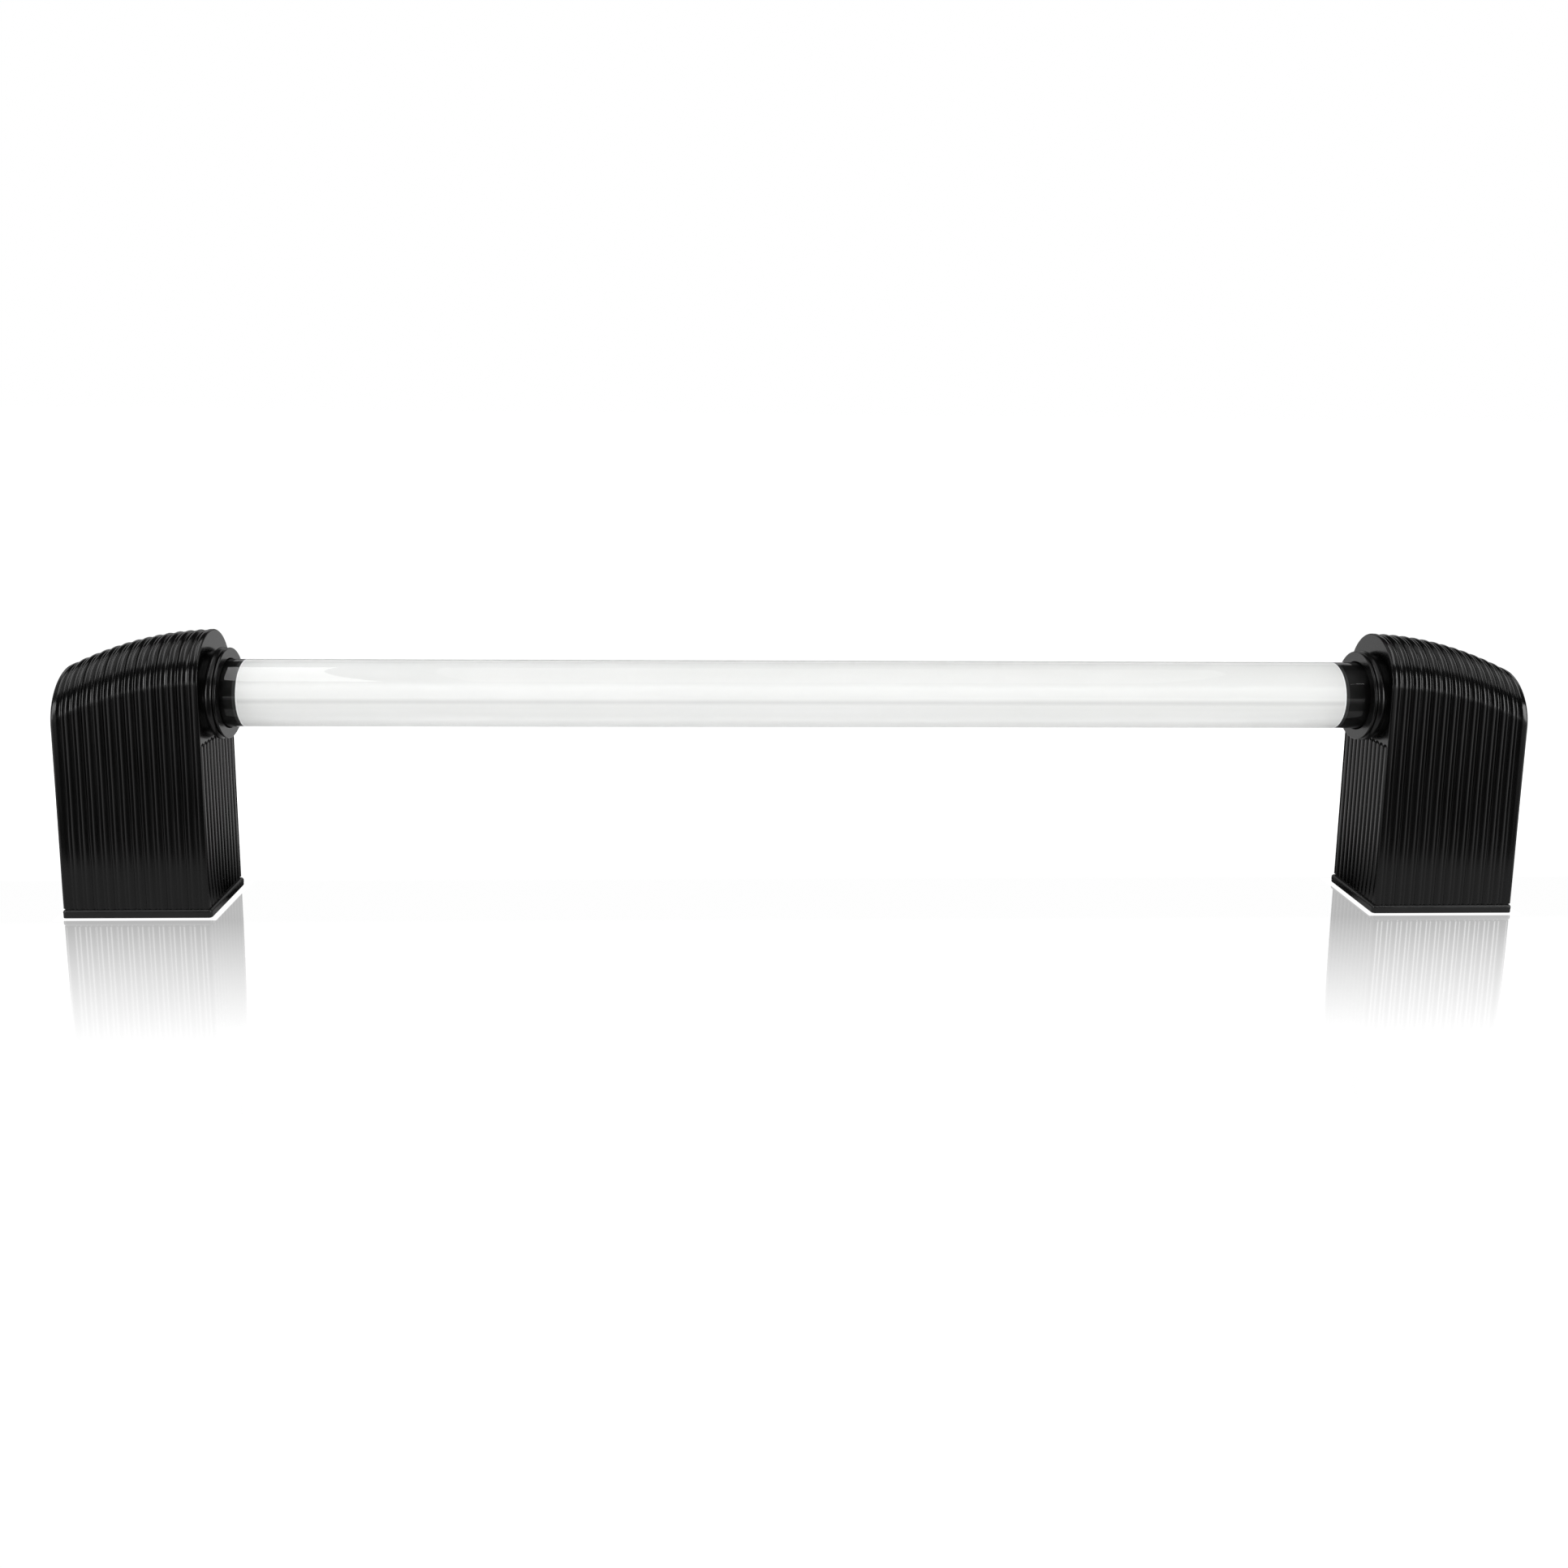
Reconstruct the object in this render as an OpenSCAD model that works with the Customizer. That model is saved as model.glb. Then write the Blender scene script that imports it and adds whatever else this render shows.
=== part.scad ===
// Fixed pull-up bar. A clear grip sleeve turns freely on a steel core tube, and the core is
// held between two end blocks that bolt to a beam, a board or a rack upright.
// Each block is a steel base plate and post with a socket for the core, under a ribbed cover.
// Origin: centre of the mounting plane. X runs along the bar, Z points away from the mounting
// surface. Parts of a block are drawn at the right-hand end, and mirrored for the left one.

/* [Overall] */
// Length over both end blocks
overall_length = 818; // [640:2:1200]
// Height of the bar's axis above the mounting plane
bar_height = 121.7; // [118:0.1:124]

/* [Grip] */
// Outer diameter of the clear grip sleeve
sleeve_d = 38; // [37:0.5:38]
// Wall of the clear grip sleeve
sleeve_wall = 4.1; // [3.7:0.1:4.1]
// Wall of the white liner inside the sleeve
liner_wall = 1.6; // [1:0.1:1.6]
// Outer diameter of the steel core tube
core_d = 25.4; // [24:0.2:25.4]
// Wall of the steel core tube
core_wall = 2.5; // [2:0.1:4]
// Mean length of black bushing that shows through the sleeve at an end
band_length = 9.9; // [6:0.1:14]
// How far the liner sits off the middle of the bar, to the left
liner_offset = 2.2; // [0:0.1:3]
// Radial running clearance of the bushings on the core
running_clearance = 0.05; // [0.02:0.01:0.08]

/* [Base plate] */
// Length of a base plate, along the bar
plate_length = 81.5; // [80:0.5:90]
// Depth of a base plate, across the bar
plate_depth = 56; // [56:0.5:64]
// Thickness of a base plate
plate_thickness = 4.6; // [3.6:0.1:6]
// Spacing of the mounting holes along the bar
hole_spacing_x = 55; // [54.5:0.5:56]
// Spacing of the mounting holes across the bar
hole_spacing_y = 30; // [28:0.5:32]
// Diameter of the mounting holes, for an 8 mm screw
mount_hole_d = 8.4; // [8.2:0.1:9]

/* [Cover] */
// Depth of a cover, across the bar
cover_depth = 54.5; // [54:0.5:56]
// Height of the crown that a cover's top falls away from
crown_top = 157.7; // [157:0.1:160]
// Radius of curvature of a cover's top, along the bar
crown_r = 163; // [160:1:220]
// Distance from the crown to the face that the bar enters
crown_back = 3; // [0:0.5:6]
// Radius of the corner between the cover's top and its outer end
corner_r = 4; // [3:0.5:8]
// Wall of a cover
cover_wall = 3; // [2.4:0.1:3]
// Number of ribs over a cover
rib_count = 14; // [8:1:18]
// Width of the groove between two ribs
groove_w = 0.9; // [0.6:0.1:1.4]
// Depth of the groove between two ribs
groove_depth = 0.6; // [0.3:0.1:1]
// Number of flutes down the inner and outer end faces
flute_count = 11; // [7:1:13]

/* [Collar] */
// Outer diameter of a collar's round bead
collar_d = 51.6; // [51:0.2:52]
// How far a collar stands out of its cover
collar_reach = 8.5; // [7:0.5:10]
// Gap all round between a collar and the grip sleeve
collar_gap = 0.5; // [0.4:0.1:0.8]

/* [Hidden] */
$fn = 96;
cut = 1;                            // how far a cutter runs past the face it opens
lap = 0.2;                          // how far neighbouring slabs of one solid run into each other
fit_gap = 0.05;                     // clearance between pieces that are fixed together

// Places along the bar, from its middle outwards
end_x = overall_length / 2;
plate_x = end_x - plate_length;     // inner edge of a base plate
plate_ledge = 1.5;                  // how far a base plate shows inside its cover's inner face
cover_x = plate_x + plate_ledge;    // inner face of a cover
plate_mid_x = end_x - plate_length / 2;
collar_face_x = cover_x - collar_reach;
liner_end_x = collar_face_x - band_length;  // half the liner's length
sleeve_tuck = 9;                    // how far the sleeve runs into a cover
sleeve_end_x = cover_x + sleeve_tuck;
flange_t = 3;                       // flange of a bushing, beyond the sleeve's end
end_float = 0.3;                    // play between the turning flange and the thrust washer
washer_t = 2;
washer_x = sleeve_end_x + flange_t + end_float;
socket_x = washer_x + washer_t;

// Radii round the bar's axis
sleeve_r = sleeve_d / 2;
sleeve_bore_r = sleeve_r - sleeve_wall;
core_r = core_d / 2;
bushing_bore_r = core_r + running_clearance;
flange_r = sleeve_r - 1;
collar_r = collar_d / 2;
collar_bead_r = 2.4;
collar_neck_r = collar_r - collar_bead_r;
collar_lip_r = collar_r - 0.4;      // flat lip round the end of a collar
collar_lip_t = 1.4;
collar_groove = 0.3;                // between the lip and the bead
collar_bore_r = sleeve_r + collar_gap;
spigot_wall = 3.4;
spigot_r = collar_bore_r + spigot_wall;  // part of a collar that plugs into its cover
spigot_tail = 2;                    // how far that part shows inside the cover's wall

// Socket and post
socket_r = 18;
socket_length = 34;
socket_floor = 4;                   // closed end of the socket
socket_overhang = 2;                // socket beyond the post, on the outer side
core_end_gap = 0.5;                 // core tube short of the socket's closed end
core_end_x = socket_x + socket_length - socket_floor - core_end_gap;
post_length = 26;
post_depth = 32;
post_wall = 3;
post_mid_x = socket_x + socket_length - socket_overhang - post_length / 2;

// Fasteners
set_screw_r = 4;                    // 8 mm set screw, tightened from below through the post
set_screw_length = 8;
set_screw_key = 4;
key_hole_r = 4.5;                   // hole in the base plate for the key
weld_nut_across_flats = 13;
weld_nut_h = 6.5;
screw_r = 2;                        // 4 mm cover screw
screw_head_r = 4;
screw_length = 14;
screw_sink = 0.3;                   // depth of the head below the mounting plane
boss_r = 3.8;
boss_top = 22;
screw_inset = 6;                    // from a cover's end face to the screw near it
screw_x = [cover_x + screw_inset, end_x - screw_inset];
screw_hole_spare = 2;               // depth of the screw's hole past its tip

// Cover outline: the top falls as a parabola, then turns down the arc of the outer corner
crown_x = cover_x - crown_back;
rib_pitch = (end_x - cover_x) / rib_count;
arch_r = cover_depth / 2;
cavity_steps = 12;
cavity_step = (end_x - cover_x - 2 * cover_wall) / cavity_steps;
// The top's slope where the arc starts, about half a radius from the end, fixes the arc's length
arc_angle = atan((end_x - crown_x - corner_r / 2) / crown_r);
arc_x = end_x - corner_r * (1 - sin(arc_angle));
arc_mid_z = crown_top - pow(arc_x - crown_x, 2) / (2 * crown_r) - corner_r * cos(arc_angle);
flute_pitch = cover_depth / flute_count;
flute_r = 0.7;
flute_tuck = 3;                     // how far the inner flutes run up behind the collar
inner_flute_top = bar_height - collar_r + flute_tuck;
outer_flute_top = arc_mid_z - arch_r;

// Height of the cover's ridge at a place along the bar
function ridge(x) =
    x < arc_x ? crown_top - pow(x - crown_x, 2) / (2 * crown_r)
              : arc_mid_z + sqrt(pow(corner_r, 2) - pow(x - (end_x - corner_r), 2));

// Moves what is drawn round the Z axis onto the bar's axis, starting at x
module on_bar(x = 0) {
    translate([x, 0, bar_height]) rotate([0, 90, 0]) children();
}

module tube(outer_r, inner_r, length) {
    difference() {
        cylinder(r = outer_r, h = length);
        translate([0, 0, -cut]) cylinder(r = inner_r, h = length + 2 * cut);
    }
}

module hexagon(across_flats, h) {
    cylinder(d = across_flats / cos(30), h = h, $fn = 6);
}

// Moves what is drawn at the right-hand end to the left-hand end
module at_left() {
    mirror([1, 0, 0]) children();
}

// Four copies, one at each mounting hole
module at_mount_holes() {
    for (sx = [-1, 1], sy = [-1, 1])
        translate([plate_mid_x + sx * hole_spacing_x / 2, sy * hole_spacing_y / 2, 0]) children();
}

// A round-topped slab across the bar, from x along length, with its ridge at top
module arched_slab(x, length, r, top) {
    translate([x, 0, 0]) rotate([90, 0, 90]) linear_extrude(height = length) {
        translate([0, top - r]) circle(r = r);
        translate([-r, plate_thickness]) square([2 * r, top - r - plate_thickness]);
    }
}

module core_tube() {
    color("silver") on_bar(-core_end_x) tube(core_r, core_r - core_wall, 2 * core_end_x);
}

module clear_sleeve() {
    color("whitesmoke", 0.4) on_bar(-sleeve_end_x) tube(sleeve_r, sleeve_bore_r, 2 * sleeve_end_x);
}

module white_liner() {
    color("white") on_bar(-liner_end_x - liner_offset)
        tube(sleeve_bore_r - fit_gap, sleeve_bore_r - fit_gap - liner_wall, 2 * liner_end_x);
}

// A bushing whose spigot runs in to the liner's edge
module end_bushing(liner_edge_x) {
    spigot = sleeve_end_x - liner_edge_x - fit_gap;
    color("black") difference() {
        union() {
            on_bar(liner_edge_x + fit_gap) cylinder(r = sleeve_bore_r - fit_gap, h = spigot + cut);
            on_bar(sleeve_end_x) cylinder(r = flange_r, h = flange_t);
        }
        on_bar(liner_edge_x - cut) cylinder(r = bushing_bore_r, h = spigot + flange_t + 3 * cut);
    }
}

module thrust_washer() {
    color("ivory") on_bar(washer_x) tube(flange_r, core_r + 3 * fit_gap, washer_t);
}

module socket() {
    color("silver") difference() {
        on_bar(socket_x) cylinder(r = socket_r, h = socket_length);
        on_bar(socket_x - cut) cylinder(r = core_r + fit_gap, h = socket_length - socket_floor + cut);
        translate([post_mid_x, 0, bar_height - socket_r - cut])
            cylinder(r = set_screw_r + fit_gap, h = socket_r + cut);
    }
}

module post() {
    color("dimgray") difference() {
        translate([post_mid_x - post_length / 2, -post_depth / 2, plate_thickness])
            cube([post_length, post_depth, bar_height - plate_thickness]);
        translate([post_mid_x - post_length / 2 + post_wall, -post_depth / 2 + post_wall, 0])
            cube([post_length - 2 * post_wall, post_depth - 2 * post_wall, bar_height + cut]);
        on_bar(post_mid_x - post_length) cylinder(r = socket_r + fit_gap, h = 2 * post_length);
    }
}

module set_screw() {
    color("silver") translate([post_mid_x, 0, bar_height - core_r - fit_gap - set_screw_length])
        difference() {
            cylinder(r = set_screw_r, h = set_screw_length);
            translate([0, 0, -cut]) hexagon(set_screw_key, set_screw_length / 2 + cut);
        }
}

module base_plate() {
    corner = 2;
    color("black") difference() {
        for (inset = [[corner, 0], [0, corner]])
            translate([plate_x + inset[0], -plate_depth / 2 + inset[1], 0])
                cube([plate_length - 2 * inset[0], plate_depth - 2 * inset[1], plate_thickness]);
        at_mount_holes() translate([0, 0, -cut])
            cylinder(d = mount_hole_d, h = plate_thickness + 2 * cut);
        translate([post_mid_x, 0, -cut]) cylinder(r = key_hole_r, h = plate_thickness + 2 * cut);
        for (x = screw_x) translate([x, 0, 0]) {
            translate([0, 0, -cut]) cylinder(r = screw_r + fit_gap, h = plate_thickness + 2 * cut);
            translate([0, 0, -cut]) cylinder(r = screw_head_r + fit_gap, h = screw_sink + cut);
            translate([0, 0, screw_sink])
                cylinder(r1 = screw_head_r + fit_gap, r2 = screw_r + fit_gap, h = screw_head_r - screw_r);
        }
    }
    color("black") for (sx = [0, 1], sy = [-1, 1])
        translate([plate_x + corner + sx * (plate_length - 2 * corner),
                   sy * (plate_depth / 2 - corner), 0])
            cylinder(r = corner, h = plate_thickness);
}

module weld_nuts() {
    color("dimgray") at_mount_holes() translate([0, 0, plate_thickness]) difference() {
        rotate([0, 0, 30]) hexagon(weld_nut_across_flats, weld_nut_h);
        translate([0, 0, -cut]) cylinder(d = mount_hole_d, h = weld_nut_h + 2 * cut);
    }
}

module cover() {
    color("black") difference() {
        for (i = [0 : rib_count - 1]) {
            x = cover_x + i * rib_pitch;
            top = ridge(x + rib_pitch / 2);
            root_x = x - (i > 0 ? lap : 0);
            arched_slab(root_x, x + rib_pitch - root_x, arch_r - groove_depth, top - groove_depth);
            arched_slab(x + groove_w / 2, rib_pitch - groove_w, arch_r, top);
        }
        difference() {
            for (i = [0 : cavity_steps - 1]) {
                x = cover_x + cover_wall + i * cavity_step;
                arched_slab(x - (i > 0 ? lap : 0), cavity_step + (i > 0 ? lap : 0),
                            arch_r - cover_wall,
                            ridge(x + cavity_step + rib_pitch / 2) - cover_wall);
            }
            for (x = screw_x) translate([x, 0, 0]) cylinder(r = boss_r, h = boss_top);
        }
        on_bar(cover_x - cut) cylinder(r = spigot_r + fit_gap, h = cover_wall + 2 * cut);
        for (x = screw_x) translate([x, 0, 0])
            cylinder(r = screw_r + fit_gap, h = screw_length + screw_hole_spare);
        for (i = [1 : flute_count - 1]) {
            y = -arch_r + i * flute_pitch;
            translate([cover_x, y, 0]) cylinder(r = flute_r, h = inner_flute_top, $fn = 24);
            translate([end_x, y, 0]) cylinder(r = flute_r, h = outer_flute_top, $fn = 24);
        }
    }
}

module collar() {
    color("black") on_bar(collar_face_x) rotate_extrude() {
        translate([collar_bore_r, 0]) square([collar_neck_r - collar_bore_r, collar_reach]);
        translate([collar_bore_r, 0]) square([collar_lip_r - collar_bore_r, collar_lip_t]);
        translate([collar_neck_r, collar_lip_t + collar_groove + collar_bead_r])
            circle(r = collar_bead_r, $fn = 48);
        translate([collar_bore_r, collar_reach - cut])
            square([spigot_wall, cover_wall + spigot_tail + cut]);
    }
}

module cover_screws() {
    color("silver") for (x = screw_x) translate([x, 0, screw_sink]) {
        cylinder(r1 = screw_head_r, r2 = screw_r, h = screw_head_r - screw_r);
        cylinder(r = screw_r, h = screw_length);
    }
}

module end_bushing_left() { at_left() end_bushing(liner_end_x + liner_offset); }
module end_bushing_right() { end_bushing(liner_end_x - liner_offset); }
module thrust_washer_left() { at_left() thrust_washer(); }
module thrust_washer_right() { thrust_washer(); }
module base_plate_left() { at_left() base_plate(); }
module base_plate_right() { base_plate(); }
module post_left() { at_left() post(); }
module post_right() { post(); }
module socket_left() { at_left() socket(); }
module socket_right() { socket(); }
module set_screw_left() { at_left() set_screw(); }
module set_screw_right() { set_screw(); }
module weld_nuts_left() { at_left() weld_nuts(); }
module weld_nuts_right() { weld_nuts(); }
module cover_left() { at_left() cover(); }
module cover_right() { cover(); }
module collar_left() { at_left() collar(); }
module collar_right() { collar(); }
module cover_screws_left() { at_left() cover_screws(); }
module cover_screws_right() { cover_screws(); }

core_tube();
clear_sleeve();
white_liner();
end_bushing_left();
end_bushing_right();
thrust_washer_left();
thrust_washer_right();
base_plate_left();
base_plate_right();
post_left();
post_right();
socket_left();
socket_right();
set_screw_left();
set_screw_right();
weld_nuts_left();
weld_nuts_right();
cover_left();
cover_right();
collar_left();
collar_right();
cover_screws_left();
cover_screws_right();
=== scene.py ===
"""Looks for the pull-up bar: a clear grip sleeve over a white liner, between two ribbed black end blocks.

Right-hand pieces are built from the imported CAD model's own boxes, and mirrored for the left-hand end.
Lengths are in metres, in the CAD frame: X along the bar, Z away from the mounting plane.
"""

import math

import bmesh
import bpy
from mathutils import Matrix, Vector

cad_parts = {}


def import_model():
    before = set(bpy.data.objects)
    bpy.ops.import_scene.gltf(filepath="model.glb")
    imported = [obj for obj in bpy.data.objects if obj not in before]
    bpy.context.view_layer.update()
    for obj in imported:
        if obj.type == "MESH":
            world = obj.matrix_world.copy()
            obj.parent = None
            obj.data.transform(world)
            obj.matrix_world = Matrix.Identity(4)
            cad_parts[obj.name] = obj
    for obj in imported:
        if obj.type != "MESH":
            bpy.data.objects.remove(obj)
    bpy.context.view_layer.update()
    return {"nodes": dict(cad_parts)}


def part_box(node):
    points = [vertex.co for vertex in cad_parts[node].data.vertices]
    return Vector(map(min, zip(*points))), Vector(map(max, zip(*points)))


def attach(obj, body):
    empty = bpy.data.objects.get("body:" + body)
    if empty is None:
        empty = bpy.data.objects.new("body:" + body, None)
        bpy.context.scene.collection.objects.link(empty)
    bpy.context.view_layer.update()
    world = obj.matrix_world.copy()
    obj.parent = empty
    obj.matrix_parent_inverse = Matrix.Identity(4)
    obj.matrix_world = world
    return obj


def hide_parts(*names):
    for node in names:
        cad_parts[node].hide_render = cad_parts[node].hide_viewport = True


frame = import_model()

MM = 0.001
SIDES = {"left": -1, "right": 1}

# ---------------------------------------------------------------- places, from the CAD model

sleeve_lo, sleeve_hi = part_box("clear_sleeve")
liner_lo, liner_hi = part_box("white_liner")
bushing_lo, bushing_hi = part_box("end_bushing_right")
left_bushing_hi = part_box("end_bushing_left")[1]
collar_lo, collar_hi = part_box("collar_right")
cover_lo, cover_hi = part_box("cover_right")
plate_lo, plate_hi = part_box("base_plate_right")
nuts_lo, nuts_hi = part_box("weld_nuts_right")
core_lo, core_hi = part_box("core_tube")
screws_lo, screws_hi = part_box("cover_screws_right")
post_lo, post_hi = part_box("post_right")

axis_z = (sleeve_lo.z + sleeve_hi.z) / 2
sleeve_r = (sleeve_hi.z - sleeve_lo.z) / 2
liner_r = (liner_hi.z - liner_lo.z) / 2
# The liner and bushings are a press fit in the sleeve. The sleeve's bore is drawn a little inside them,
# so that no film of air shows between the two.
film_overlap = 0.1 * MM
sleeve_bore_r = liner_r - film_overlap
liner_wall = 1.6 * MM
liner_mid_x = (liner_lo.x + liner_hi.x) / 2  # the liner sits a little off the middle of the bar
liner_half = (liner_hi.x - liner_lo.x) / 2
running_clearance = 0.05 * MM
bushing_bore_r = (core_hi.z - core_lo.z) / 2 + running_clearance
flange_r = (bushing_hi.z - bushing_lo.z) / 2
collar_r = (collar_hi.z - collar_lo.z) / 2
collar_gap = 0.5 * MM
collar_bore_r = sleeve_r + collar_gap
spigot_r = 22.9 * MM
fit_gap = 0.05 * MM

# The cover's outline, as the CAD model has it
cover_length = cover_hi.x - cover_lo.x
arch_r = cover_hi.y
# The crown lies just outside the cover's inner face, a little higher than the cover's own top
crown_above_cover = 0.04 * MM
crown_top = cover_hi.z + crown_above_cover
crown_r = 163 * MM
crown_back = 3 * MM
corner_r = 4 * MM
cover_wall = 3 * MM
rib_count = 14
flute_count = 11


# ---------------------------------------------------------------- mesh helpers


def arc(cx, cr, radius, start, end, steps):
    """Points on an arc about (cx, cr), from one angle in degrees to another."""
    turn = [math.radians(start + (end - start) * i / steps) for i in range(steps + 1)]
    return [(cx + radius * math.cos(t), cr + radius * math.sin(t)) for t in turn]


def filleted(corners, steps=4):
    """A closed outline from (x, r, fillet radius) corners, with each corner rounded by its own radius."""
    points = []
    for i, (x, r, radius) in enumerate(corners):
        here = Vector((x, r))
        before = Vector(corners[i - 1][:2]) - here
        after = Vector(corners[(i + 1) % len(corners)][:2]) - here
        if radius == 0:
            points.append((x, r))
            continue
        a, b = before.normalized(), after.normalized()
        half = a.angle(b) / 2
        centre = here + (a + b).normalized() * radius / math.sin(half)
        start, end = here + a * radius / math.tan(half), here + b * radius / math.tan(half)
        u, v = start - centre, end - centre
        for k in range(steps + 1):
            p = (u * (1 - k / steps) + v * (k / steps)).normalized() * radius + centre
            points.append((p.x, p.y))
    return points


def mesh_piece(name, verts, faces, side=1):
    """A mesh object. On the left-hand side it is mirrored, with its faces turned to match."""
    if side < 0:
        verts = [(-x, y, z) for x, y, z in verts]
        faces = [tuple(reversed(f)) for f in faces]
    mesh = bpy.data.meshes.new(name)
    mesh.from_pydata(verts, [], faces)
    mesh.update()
    piece = bpy.data.objects.new(name, mesh)
    bpy.context.scene.collection.objects.link(piece)
    return piece


def lathe(name, outline, side=1, segments=160):
    """A closed outline of (x, radius) points turned round the bar's axis."""
    n = len(outline)
    verts, faces = [], []
    for k in range(segments):
        t = 2 * math.pi * k / segments
        verts += [(x, r * math.sin(t), axis_z + r * math.cos(t)) for x, r in outline]
    for k in range(segments):
        a, b = k * n, (k + 1) % segments * n
        faces += [(a + i, a + (i + 1) % n, b + (i + 1) % n, b + i) for i in range(n)]
    return mesh_piece(name, verts, faces, side)


def outward(piece):
    """Turns all the faces of a closed mesh outwards."""
    bm = bmesh.new()
    bm.from_mesh(piece.data)
    bmesh.ops.recalc_face_normals(bm, faces=bm.faces)
    bm.to_mesh(piece.data)
    bm.free()


def apply_modifiers(piece):
    """Replaces the mesh with what its modifiers make of it, and takes them off."""
    graph = bpy.context.evaluated_depsgraph_get()
    made = bpy.data.meshes.new_from_object(piece.evaluated_get(graph))
    made.name = piece.name
    piece.modifiers.clear()
    piece.data = made


def cut_away(piece, cutter):
    """Takes a closed cutter out of a piece, and deletes the cutter."""
    outward(cutter)
    boolean = piece.modifiers.new("cut", "BOOLEAN")
    boolean.operation = "DIFFERENCE"
    boolean.solver = "EXACT"
    boolean.object = cutter
    apply_modifiers(piece)
    bpy.data.objects.remove(cutter)


def smooth(piece, degrees=35):
    """Shades the piece smooth, apart from edges sharper than the angle."""
    for polygon in piece.data.polygons:
        polygon.use_smooth = True
    piece.data.set_sharp_from_angle(angle=math.radians(degrees))
    weighted = piece.modifiers.new("normals", "WEIGHTED_NORMAL")
    weighted.keep_sharp = True
    apply_modifiers(piece)


def mirror_to(piece, side_name):
    """Mirrors a right-hand piece if it is for the left-hand end. finish_piece turns its faces back out."""
    if SIDES[side_name] < 0:
        piece.data.transform(Matrix.Scale(-1, 4, (1, 0, 0)))


def finish_piece(piece, body, material, nodes, degrees=35):
    """Shades a piece, gives it its material, and puts it on its body in place of its CAD nodes."""
    outward(piece)
    smooth(piece, degrees)
    piece.data.materials.clear()
    piece.data.materials.append(material)
    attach(piece, body)
    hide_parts(*nodes)


# ---------------------------------------------------------------- materials


class Nodes:
    """A short way to write a material's node tree."""

    def __init__(self, name):
        self.material = bpy.data.materials.new(name)
        self.material.use_nodes = True
        self.tree = self.material.node_tree
        self.shader = self.tree.nodes["Principled BSDF"]
        self.output = self.tree.nodes["Material Output"]
        self.place = self.tree.nodes.new("ShaderNodeTexCoord").outputs["Object"]

    def set(self, **values):
        for key, value in values.items():
            self.shader.inputs[key.replace("_", " ")].default_value = value

    def link(self, out, to):
        self.tree.links.new(out, to)

    def noise(self, scale, detail=2.0, stretch=(1, 1, 1), roughness=0.5):
        mapping = self.tree.nodes.new("ShaderNodeMapping")
        mapping.inputs["Scale"].default_value = stretch
        self.link(self.place, mapping.inputs["Vector"])
        noise = self.tree.nodes.new("ShaderNodeTexNoise")
        noise.inputs["Scale"].default_value = scale
        noise.inputs["Detail"].default_value = detail
        noise.inputs["Roughness"].default_value = roughness
        self.link(mapping.outputs["Vector"], noise.inputs["Vector"])
        return noise.outputs["Fac"]

    def ramp(self, fac, low, high, start=0.3, end=0.7):
        """Maps a factor between two colours or two numbers."""
        node = self.tree.nodes.new("ShaderNodeMapRange" if isinstance(low, float) else "ShaderNodeValToRGB")
        if isinstance(low, float):
            for key, value in (("From Min", start), ("From Max", end), ("To Min", low), ("To Max", high)):
                node.inputs[key].default_value = value
            self.link(fac, node.inputs["Value"])
            return node.outputs["Result"]
        first, last = node.color_ramp.elements
        first.position, last.position = start, end
        first.color, last.color = (*low, 1), (*high, 1)
        self.link(fac, node.inputs["Fac"])
        return node.outputs["Color"]

    def math(self, operation, *values):
        node = self.tree.nodes.new("ShaderNodeMath")
        node.operation = operation
        for value, socket in zip(values, node.inputs):
            if isinstance(value, (int, float)):
                socket.default_value = value
            else:
                self.link(value, socket)
        return node.outputs["Value"]

    def seam(self, colour, radius, elevation, half_width, shade):
        """Paints shade into a colour along one line on the front of a tube round the bar's axis.

        elevation is how high the line lies on the tube's front, in degrees.
        """
        place = self.tree.nodes.new("ShaderNodeSeparateXYZ")
        self.link(self.place, place.inputs["Vector"])
        line_z = axis_z + radius * math.sin(math.radians(elevation))
        away = self.math("ABSOLUTE", self.math("SUBTRACT", place.outputs["Z"], line_z))
        on_line = self.ramp(away, 1.0, 0.0, 0.2 * half_width, 1.6 * half_width)
        on_line = self.math("MULTIPLY", on_line, self.math("LESS_THAN", place.outputs["Y"], 0.0))
        return self.mix(on_line, colour, (shade, shade, shade), "MULTIPLY")

    def beyond(self, distance):
        """1 where the distance along the bar from the liner's middle is more than this, and 0 elsewhere."""
        place = self.tree.nodes.new("ShaderNodeSeparateXYZ")
        self.link(self.place, place.inputs["Vector"])
        along = self.math("ABSOLUTE", self.math("SUBTRACT", place.outputs["X"], liner_mid_x))
        return self.math("GREATER_THAN", along, distance)

    def mix(self, factor, first, second, blend="MIX"):
        """Mixes two colours, the second of which may be plain numbers."""
        node = self.tree.nodes.new("ShaderNodeMix")
        node.data_type = "RGBA"
        node.blend_type = blend
        self.link(factor, node.inputs[0])
        self.link(first, node.inputs[6])
        if isinstance(second, tuple):
            node.inputs[7].default_value = (*second, 1)
        else:
            self.link(second, node.inputs[7])
        return node.outputs[2]

    def bump(self, heights, strength, distance):
        """Chains one bump node for each height."""
        last = None
        for height, s, d in zip(heights, strength, distance):
            node = self.tree.nodes.new("ShaderNodeBump")
            node.inputs["Strength"].default_value = s
            node.inputs["Distance"].default_value = d
            self.link(height, node.inputs["Height"])
            if last:
                self.link(last, node.inputs["Normal"])
            last = node.outputs["Normal"]
        self.link(last, self.shader.inputs["Normal"])


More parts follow.
